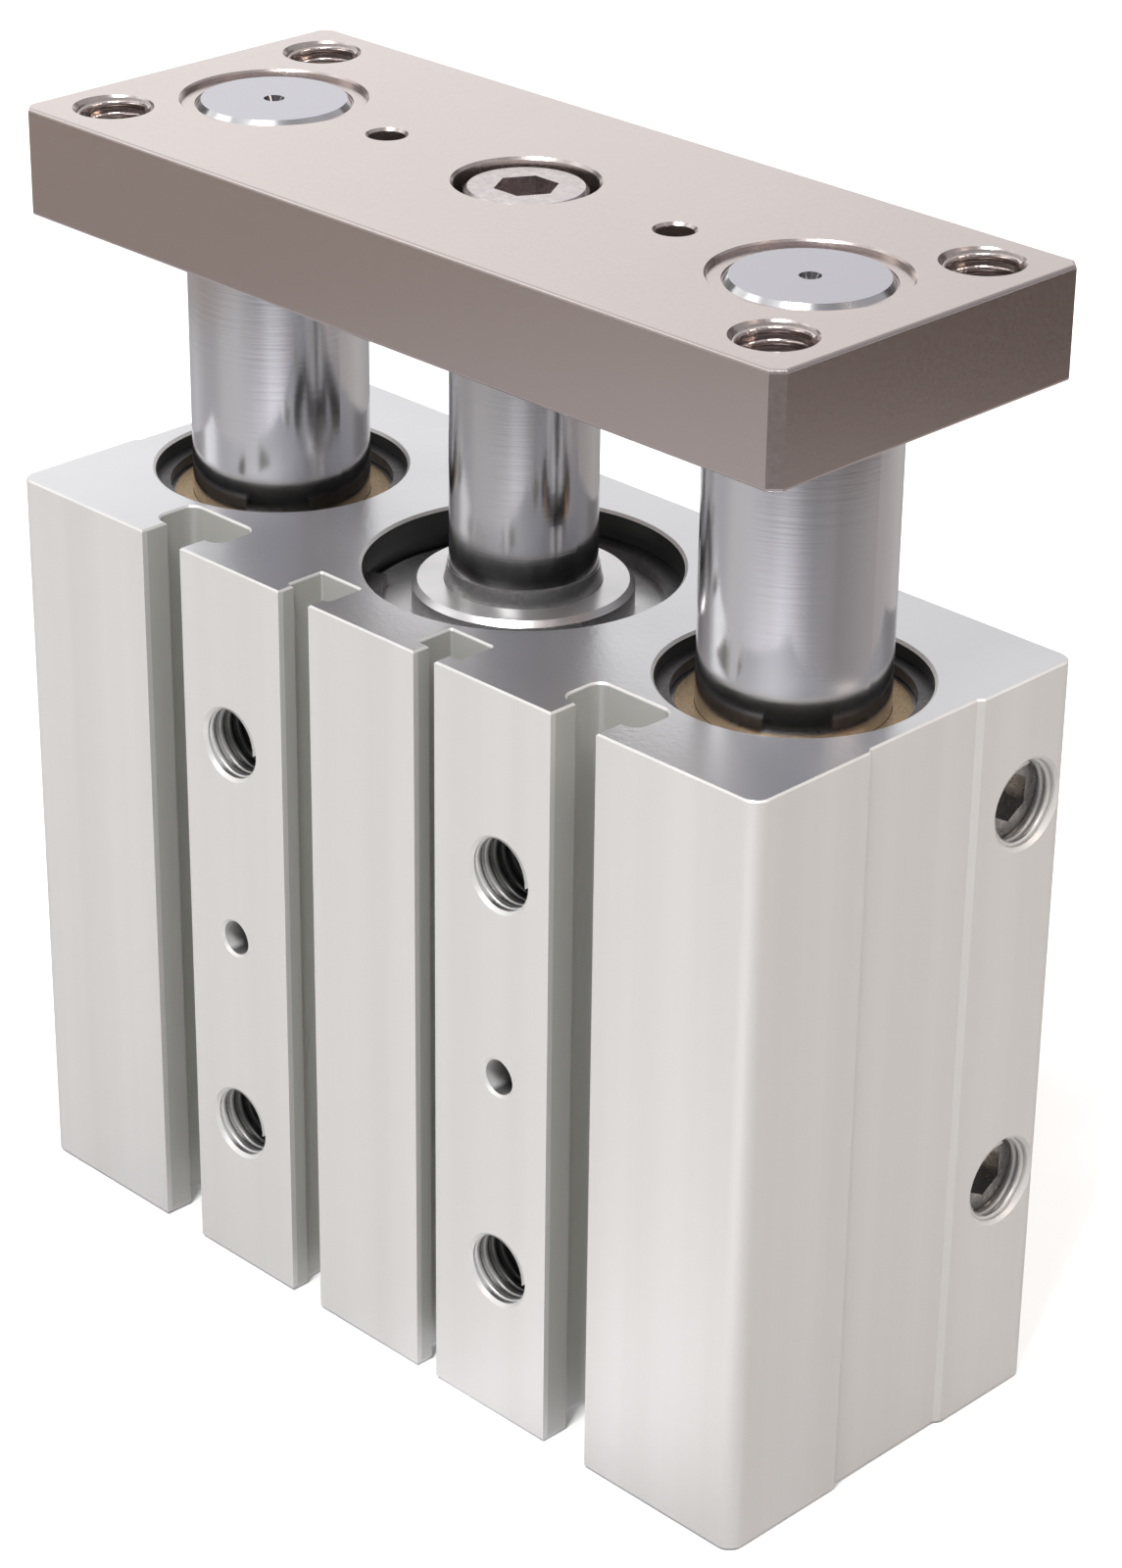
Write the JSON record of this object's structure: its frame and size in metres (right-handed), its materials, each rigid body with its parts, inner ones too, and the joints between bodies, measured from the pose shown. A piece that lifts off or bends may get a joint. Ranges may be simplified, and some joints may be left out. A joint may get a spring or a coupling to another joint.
{
  "type": "guided pneumatic cylinder",
  "caption": "Compact guided pneumatic cylinder: slotted aluminium body, chromed piston rod and guide rods, tapped end plate that slides in and out.",
  "frame": {"origin": "middle of the body's underside, with the rods standing 20.6 mm out", "axes": "+X along the long side, +Y to the back face with the two open ports, +Z along the rods, the way the plate moves out"},
  "size_m": [0.112, 0.048, 0.1301],
  "materials": {
    "anodised_aluminium": "clear anodised extrusion with fine vertical die lines",
    "turned_aluminium": "turned",
    "spring_steel": "phosphated",
    "seal_rubber": "nitrile rubber",
    "bumper_urethane": "cast urethane",
    "bearing_bronze": "sintered bronze",
    "oiled_felt": "oiled wool felt",
    "holder_steel": "plain steel",
    "plug_steel": "zinc plated",
    "plated_steel": "nickel plated, ground",
    "hard_chrome": "hard chrome plated, ground and polished",
    "magnet": "plastic-bonded ferrite"
  },
  "bodies": {
    "barrel": {"cylinder_body": "anodised_aluminium", "collar": "turned_aluminium", "head_cover": "turned_aluminium", "collar_retaining_ring": "spring_steel", "head_cover_retaining_ring": "spring_steel", "left_guide_retaining_ring": "spring_steel", "right_guide_retaining_ring": "spring_steel", "rod_seal": "seal_rubber", "collar_o_ring": "seal_rubber", "head_cover_o_ring": "seal_rubber", "collar_bumper": "bumper_urethane", "head_bumper": "bumper_urethane", "left_guide_bush": "bearing_bronze", "right_guide_bush": "bearing_bronze", "left_felt": "oiled_felt", "right_felt": "oiled_felt", "left_felt_holder": "holder_steel", "right_felt_holder": "holder_steel", "side_port_plugs": "plug_steel"},
    "carriage": {"plate": "plated_steel", "plate_bolt": "plug_steel", "piston_rod": "hard_chrome", "left_guide_rod": "hard_chrome", "right_guide_rod": "hard_chrome", "piston": "turned_aluminium", "piston_seal": "seal_rubber", "piston_magnet": "magnet"}
  },
  "joints": [
    {"name": "rod_slide", "type": "slide", "parent": "barrel", "child": "carriage", "axis": [0, 0, 1], "range_m": [-0.0206, 0.0294]}
  ]
}
